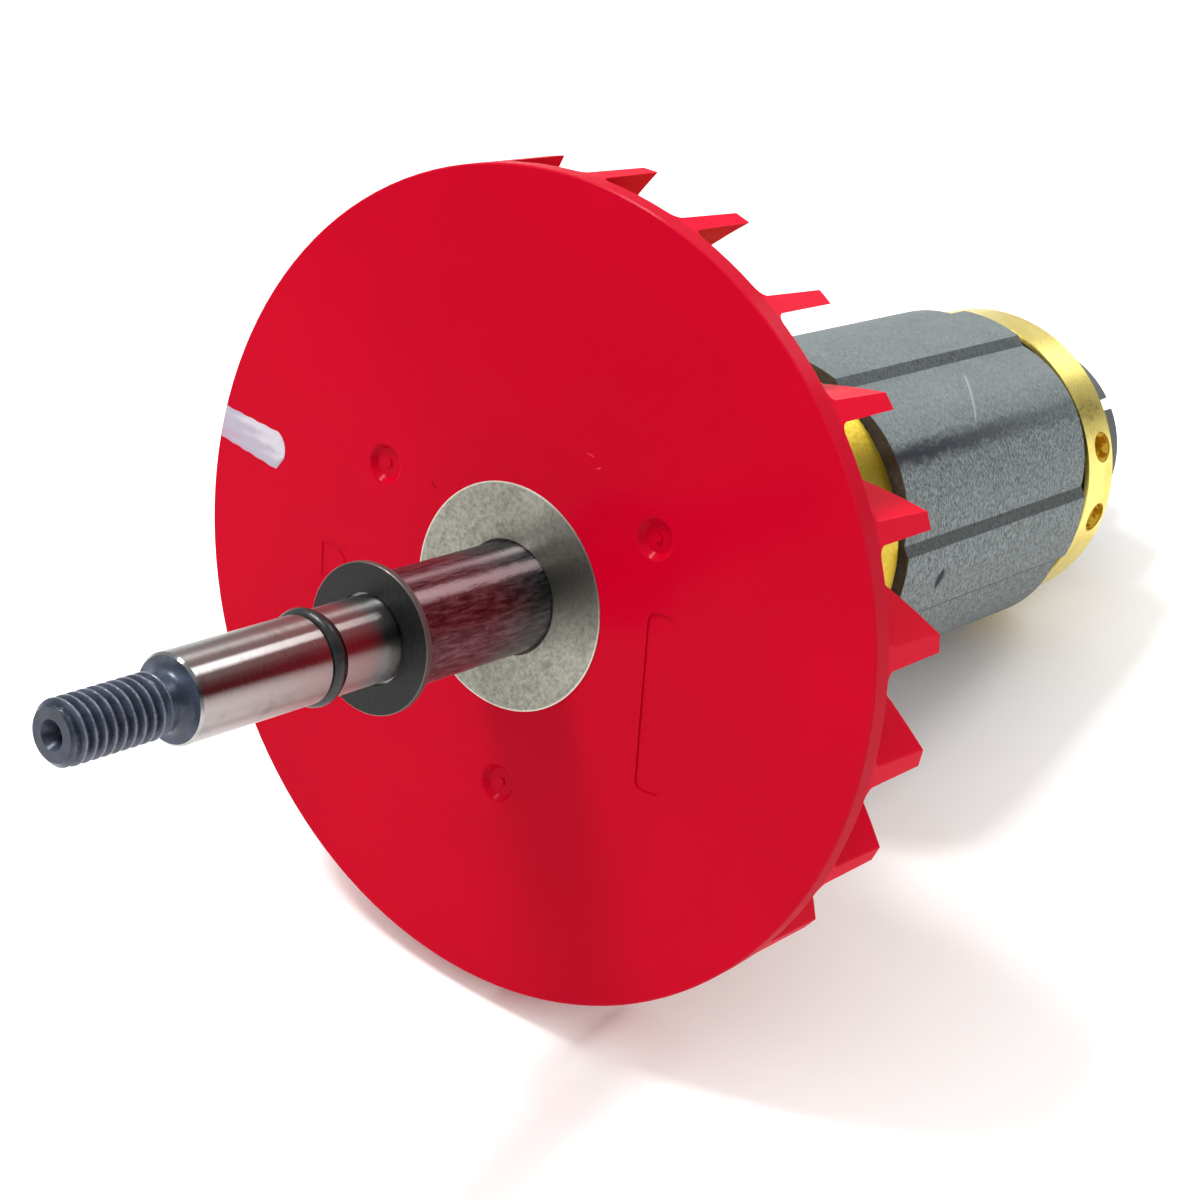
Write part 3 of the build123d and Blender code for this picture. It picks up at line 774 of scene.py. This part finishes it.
def shaft_profile():
    """Stations and radii of the plain part of the shaft, from its neck to the rear face's centre."""
    turn = np.linspace(0.0, np.pi / 2, FILLET_ROWS)
    corner = STEP_FRONT - NECK_ROUND
    fillet = [
        (corner + NECK_ROUND * math.sin(a), NECK_R + NECK_ROUND * (1 - math.cos(a))) for a in turn
    ]
    plain = [
        (STEP_FRONT, STEP_R - STEP_CHAMFER),
        (STEP_FRONT + STEP_CHAMFER, STEP_R),
        (GROOVE_MIDDLE - GROOVE_HALF, STEP_R),
        (GROOVE_MIDDLE - GROOVE_HALF, GROOVE_R),
        (GROOVE_MIDDLE + GROOVE_HALF, GROOVE_R),
        (GROOVE_MIDDLE + GROOVE_HALF, STEP_R),
        (SEAT_FRONT, STEP_R),
        (SEAT_FRONT, SEAT_R - SEAT_CHAMFER),
        (SEAT_FRONT + SEAT_CHAMFER, SEAT_R),
        (INSERT_REAR, SEAT_R),
        (INSERT_REAR, COLLAR_R),
        (FRONT_RING_FRONT, COLLAR_R),
        (FRONT_RING_FRONT, SHAFT_BODY_R),
        (RING_REAR, SHAFT_BODY_R),
        (RING_REAR, REAR_SEAT_R),
        (DISC_REAR, REAR_SEAT_R),
        (DISC_REAR, JOURNAL_R),
        (SHAFT_REAR - JOURNAL_CHAMFER, JOURNAL_R),
        (SHAFT_REAR, JOURNAL_R - JOURNAL_CHAMFER),
    ]
    rear_hole = centre_hole_profile(SHAFT_REAR, -1.0)[::-1]
    return np.array(fillet + plain + rear_hole)


def add_shaft(sizes, colours):
    """The whole shaft as one skin of rings, with its helical thread, that stands for the plain solid."""
    pitch = sizes.thread_pitch / MM
    angles = np.linspace(0.0, 2 * np.pi, SHAFT_COLUMNS, endpoint=False)
    hole = np.array(centre_hole_profile(SHAFT_FRONT, 1.0))
    plain = shaft_profile()
    thread_station, thread_radius = thread_rows(pitch, angles)
    tiled = [np.repeat(part[:, :, None], SHAFT_COLUMNS, axis=2) for part in (hole, plain)]
    station = np.concatenate([tiled[0][:, 0], thread_station, tiled[1][:, 0]])
    radius = np.concatenate([tiled[0][:, 1], thread_radius, tiled[1][:, 1]])
    rings = rotor_points(station, radius, angles[None, :])
    start = rotor_points(SHAFT_FRONT + CENTRE_TIP_DEPTH, 0.0, 0.0)
    end = rotor_points(SHAFT_REAR - CENTRE_TIP_DEPTH, 0.0, 0.0)
    blackened = station.mean(axis=1) < STEP_FRONT + 0.001
    index = np.where(blackened, 0, 1)
    index[0] = 1
    index[len(hole) + len(thread_station) + FILLET_ROWS] = 1
    materials = [phosphate(colours), ground_steel(colours)]
    piece = capped_rings("turned_shaft", rings, start, end, materials, index)
    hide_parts("rotor_shaft")
    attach(piece, BODY)


def face_station(radius):
    """The station of the fan's front face at a radius: a shallow cone from the rim out to the flange."""
    return -FACE_RISE * (FAN_R - radius) / (FAN_R - FLANGE_R)


def paint_edges(share, width):
    """Both edges of the stroke, across its middle line, at a share of its length.

    Each edge widens evenly at first. One then runs straight to the tip, where the brush was lifted, and
    the other rounds to it as a quarter of an ellipse.
    """
    tip = 0.06 * width
    low_turn, high_turn = 0.91, 0.82
    low_wide = width * (0.5 + 0.047 * np.minimum(share / low_turn, 1.0))
    low_share = np.clip((share - low_turn) / (1.0 - low_turn), 0.0, 1.0)
    low = low_wide + (tip - low_wide) * low_share
    high_wide = width * (0.5 + 0.088 * np.minimum(share / high_turn, 1.0))
    high_share = np.clip((share - high_turn) / (1.0 - high_turn), 0.0, 1.0)
    high = tip - (high_wide + tip) * np.sqrt(1.0 - high_share**2)
    return low, np.where(share < high_turn, -high_wide, high)


def add_paint(sizes, colours):
    """A film of paint on the fan's face, between its two edges, with a low crowned section.

    Across the stroke the height falls as one minus the eighth power of the share of the half width, and
    two shallow ridges follow the brush. The film's back lies in the fan's face.
    """
    rows, columns = 70, 40
    share = 0.998 * np.sin(np.linspace(0.0, np.pi / 2, rows))[:, None]
    across = np.linspace(-1.0, 1.0, columns)[None, :]
    low, high = paint_edges(share, sizes.paint_width / MM)
    offset = (low + high) / 2 + across * (low - high) / 2
    offset = offset + 0.05 * np.sin(31.0 * share + 2.0 * across)
    along = share * sizes.paint_length / MM
    heading = sizes.paint_heading
    start = (FAN_R - 0.25) * np.array([math.cos(sizes.paint_angle), math.sin(sizes.paint_angle)])
    height = start[0] + along * math.cos(heading) - offset * math.sin(heading)
    near = start[1] + along * math.sin(heading) + offset * math.cos(heading)
    radius = np.minimum(np.hypot(height, near), FAN_R - 0.22)
    angle = np.arctan2(near, height)
    ridges = 1.0 + 0.15 * np.sin(7.0 * across + 3.0 * share) * (1 - across**2)
    crown = sizes.paint_height / MM * (1 - across**8) * (0.5 + 0.5 * share) * ridges
    face = face_station(radius)
    top = rotor_points(face - crown, radius, angle)
    back = rotor_points(face + 0.02, radius, angle)[:, ::-1]
    section = np.concatenate([top, back], axis=1)
    around = section.shape[1]
    faces = ring_quads(rows, around)[:, ::-1].tolist()
    faces.append(list(range(around)))
    faces.append([(rows - 1) * around + k for k in range(around)][::-1])
    piece = build_mesh("paint_stroke", section, faces, [white_paint(colours)])
    tint = 0.35 + 0.65 * share - 0.35 * across + 0.12 * np.sin(9.0 * across + 5.0 * share)
    tint = np.clip(tint, 0.0, 1.0)
    film = np.concatenate([tint, tint[:, ::-1]], axis=1)
    attribute = piece.data.attributes.new("film", "FLOAT", "POINT")
    attribute.data.foreach_set("value", film.astype(np.float32).ravel())
    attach(piece, BODY)


def dress(node, material):
    """Gives a solid its finish."""
    mesh = frame["nodes"][node].data
    mesh.materials.clear()
    mesh.materials.append(material)


def add_floor(colours):
    """A wide level floor that keeps the shadow, and glows a little to the camera and in reflections."""
    half = 4.0
    glow = 0.03
    corners = np.array([(-half, -half, 0), (half, -half, 0), (half, half, 0), (-half, half, 0)], float)
    finish = Finish("floor", colours.floor, Roughness=0.5, Specular_IOR_Level=0.08)
    rays = finish.tree.nodes.new("ShaderNodeLightPath")
    seen = finish.math("ADD", rays.outputs["Is Camera Ray"], rays.outputs["Is Glossy Ray"])
    seen = finish.math("ADD", seen, rays.outputs["Is Transmission Ray"])
    finish.set("Emission Color", (1.0, 0.99, 0.98, 1.0))
    finish.set("Emission Strength", finish.math("MULTIPLY", finish.math("MINIMUM", seen, 1.0), glow))
    floor = build_mesh("floor", corners, [[0, 1, 2, 3]], [finish.material])


def add_lamp(name, angle, shift, distance, length, width, watts):
    """A rectangular white lamp along the rotor's axis, so many metres off it at an angle about it.

    The shift moves it along the axis, towards the rear journal where it is positive.
    """
    light = bpy.data.lights.new(name, "AREA")
    light.shape = "RECTANGLE"
    light.size, light.size_y = length, width
    light.energy = watts
    lamp = bpy.data.objects.new(name, light)
    toward = Vector(math.cos(math.radians(angle)) * UP + math.sin(math.radians(angle)) * SIDE)
    along = Vector(AXIS)
    place = Vector(AIM) + shift * along + distance * toward
    facing = (place - Vector(AIM)).normalized()
    right = (along - along.dot(facing) * facing).normalized()
    turn = Matrix((right, facing.cross(right), facing)).transposed().to_4x4()
    lamp.matrix_world = Matrix.Translation(place) @ turn
    bpy.context.scene.collection.objects.link(lamp)


# What the lamps face, in metres
AIM = (0.0, 0.0, 0.04)

# Grey of the room round the rotor's axis as metal reflects it, by angle in degrees
ROOM = (
    (-130.0, 1.0),
    (-100.0, 0.8),
    (-79.0, 0.6),
    (-60.0, 0.44),
    (-47.0, 0.48),
    (-31.0, 0.72),
    (-15.0, 0.42),
    (20.0, 0.38),
    (34.0, 0.29),
    (49.0, 0.1),
    (62.0, 0.03),
    (71.0, 0.04),
    (81.0, 0.22),
    (90.0, 0.42),
    (104.0, 0.7),
)
# How much brighter the room is behind the rotor, as a share, and where along the axis that sets in
REAR_GAIN = 0.7
REAR_FROM, REAR_TO = 0.68, 0.86
# The soft light that matt surfaces get: its mean grey, its gain overhead, in front and on the far side,
# and the least that any side gives
DOME = 0.42
DOME_GAIN = 0.88 * VERTICAL - 0.3 * AXIS - 0.3 * SIDE
DOME_LEAST = 0.04


def add_room():
    """A soft room that the camera sees as white.

    It gives matt surfaces more light from overhead, from in front and from the far side. It shows metal a
    grey that changes round the axis and is brighter behind the rotor.
    """
    world = bpy.data.worlds.new("room")
    world.use_nodes = True
    world.cycles.sampling_method = "NONE"
    bpy.context.scene.world = world
    room = Nodes(world.node_tree)
    where = room.node("ShaderNodeTexCoord", {}, output="Generated")
    angle = room.math("ARCTAN2", room.dot(where, SIDE), room.dot(where, UP))
    turn = {"Value": angle, "From Min": math.radians(-180.0), "From Max": math.radians(180.0)}
    ramp = room.node("ShaderNodeValToRGB", {0: room.node("ShaderNodeMapRange", turn)})
    greys = ramp.node.color_ramp
    greys.interpolation = "EASE"
    while len(greys.elements) > 1:
        greys.elements.remove(greys.elements[-1])
    for index, (degrees, grey) in enumerate(ROOM):
        position = (degrees + 180.0) / 360.0
        element = greys.elements[0] if index == 0 else greys.elements.new(position)
        element.position = position
        element.color = (grey, grey * 0.99, grey * 0.975, 1.0)
    gain = room.node(
        "ShaderNodeMapRange",
        {
            "Value": room.dot(where, AXIS),
            "From Min": REAR_FROM,
            "From Max": REAR_TO,
            "To Min": 1.0,
            "To Max": 1.0 + REAR_GAIN,
        },
    )
    for_metal = room.node("ShaderNodeVectorMath", {0: ramp, "Scale": gain}, operation="SCALE")
    for_matt = room.math("MAXIMUM", room.math("ADD", room.dot(where, DOME_GAIN), DOME), DOME_LEAST)
    rays = room.tree.nodes.new("ShaderNodeLightPath")
    shown = room.mix(rays.outputs["Is Glossy Ray"], for_matt, for_metal)
    seen = room.mix(rays.outputs["Is Camera Ray"], shown, (1.0, 1.0, 1.0, 1.0))
    room.tree.links.new(seen, room.tree.nodes["Background"].inputs["Color"])


def add_camera():
    """The photograph's camera, its axes and place fitted to the rotor."""
    camera = bpy.data.objects.new("camera", bpy.data.cameras.new("camera"))
    right, up = Vector(CAMERA_RIGHT), Vector(CAMERA_UP)
    back = right.cross(up)
    turn = Matrix((right, up, back)).transposed().to_4x4()
    camera.matrix_world = Matrix.Translation(CAMERA_PLACE) @ turn
    camera.data.sensor_width = SENSOR_WIDTH
    camera.data.lens = LENS
    camera.data.clip_start = 0.01
    camera.data.clip_end = 50.0
    bpy.context.scene.collection.objects.link(camera)
    bpy.context.scene.camera = camera


class RotorOperator:
    """What the operators share: the sizes and colours of the scene."""

    bl_options = {"REGISTER", "UNDO"}

    def settings(self, context):
        """The two property groups."""
        return context.scene.rotor_sizes, context.scene.rotor_colours


class ROTOR_OT_shaft(RotorOperator, bpy.types.Operator):
    """Add the turned shaft with its helical thread"""

    bl_idname = "rotor.shaft"
    bl_label = "Shaft"

    def execute(self, context):
        add_shaft(*self.settings(context))
        return {"FINISHED"}


class ROTOR_OT_seal_and_washer(RotorOperator, bpy.types.Operator):
    """Finish the rubber seal ring and the black thrust washer"""

    bl_idname = "rotor.seal_and_washer"
    bl_label = "Seal and washer"

    def execute(self, context):
        _, colours = self.settings(context)
        dress("o_ring", rubber(colours))
        dress("thrust_washer", black_oxide(colours))
        return {"FINISHED"}


class ROTOR_OT_fan(RotorOperator, bpy.types.Operator):
    """Finish the red fan and the steel bush that it is moulded on"""

    bl_idname = "rotor.fan"
    bl_label = "Fan and bush"

    def execute(self, context):
        _, colours = self.settings(context)
        dress("cooling_fan", red_plastic(colours))
        dress("fan_hub_insert", turned_steel(colours))
        return {"FINISHED"}


class ROTOR_OT_paint(RotorOperator, bpy.types.Operator):
    """Add the white paint stroke on the fan's face"""

    bl_idname = "rotor.paint"
    bl_label = "Paint stroke"

    def execute(self, context):
        add_paint(*self.settings(context))
        return {"FINISHED"}


class ROTOR_OT_stack(RotorOperator, bpy.types.Operator):
    """Finish the lamination stack and the magnets inside it"""

    bl_idname = "rotor.stack"
    bl_label = "Stack and magnets"

    def execute(self, context):
        _, colours = self.settings(context)
        dress("lamination_core", laminations(colours))
        plating = nickel(colours)
        for node in sorted(frame["nodes"]):
            if node.startswith("magnet_"):
                dress(node, plating)
        return {"FINISHED"}


class ROTOR_OT_rings(RotorOperator, bpy.types.Operator):
    """Finish the two balance rings and the slotted disc behind them"""

    bl_idname = "rotor.rings"
    bl_label = "Balance rings and disc"

    def execute(self, context):
        _, colours = self.settings(context)
        metal = brass(colours)
        dress("front_balance_ring", metal)
        dress("rear_balance_ring", metal)
        dress("sensor_disc", dark_disc(colours))
        return {"FINISHED"}


class ROTOR_OT_stage(RotorOperator, bpy.types.Operator):
    """Add the floor, the lamps, the room and the camera"""

    bl_idname = "rotor.stage"
    bl_label = "Stage"

    def execute(self, context):
        _, colours = self.settings(context)
        add_floor(colours)
        add_lamp("key_lamp", angle=-24.0, shift=-0.6, distance=1.4, length=0.3, width=0.3, watts=17.0)
        add_lamp("strip_lamp", angle=10.5, shift=0.95, distance=1.3, length=1.2, width=0.45, watts=7.6)
        add_room()
        add_camera()
        context.scene.view_settings.view_transform = "Standard"
        return {"FINISHED"}


class ROTOR_PT_panel(bpy.types.Panel):
    """The rotor's pieces, sizes and colours"""

    bl_idname = "ROTOR_PT_panel"
    bl_label = "Rotor"
    bl_space_type = "VIEW_3D"
    bl_region_type = "UI"
    bl_category = "Rotor"

    def draw(self, context):
        column = self.layout.column()
        for operator in operators:
            column.operator(operator.bl_idname)
        for group in (context.scene.rotor_sizes, context.scene.rotor_colours):
            for key in group.__annotations__:
                column.prop(group, key)


operators = (
    ROTOR_OT_shaft,
    ROTOR_OT_seal_and_washer,
    ROTOR_OT_fan,
    ROTOR_OT_paint,
    ROTOR_OT_stack,
    ROTOR_OT_rings,
    ROTOR_OT_stage,
)
classes = (RotorSizes, RotorColours, *operators, ROTOR_PT_panel)


def register():
    """Registers the classes and hangs the settings on the scene."""
    for entry in classes:
        bpy.utils.register_class(entry)
    bpy.types.Scene.rotor_sizes = bpy.props.PointerProperty(type=RotorSizes)
    bpy.types.Scene.rotor_colours = bpy.props.PointerProperty(type=RotorColours)


def unregister():
    """Takes the settings and the classes away again."""
    del bpy.types.Scene.rotor_colours
    del bpy.types.Scene.rotor_sizes
    for entry in reversed(classes):
        bpy.utils.unregister_class(entry)


def main():
    """Builds every piece and the stage, in order."""
    register()
    bpy.ops.rotor.shaft()
    bpy.ops.rotor.seal_and_washer()
    bpy.ops.rotor.fan()
    bpy.ops.rotor.paint()
    bpy.ops.rotor.stack()
    bpy.ops.rotor.rings()
    bpy.ops.rotor.stage()


if __name__ == "__main__":
    main()
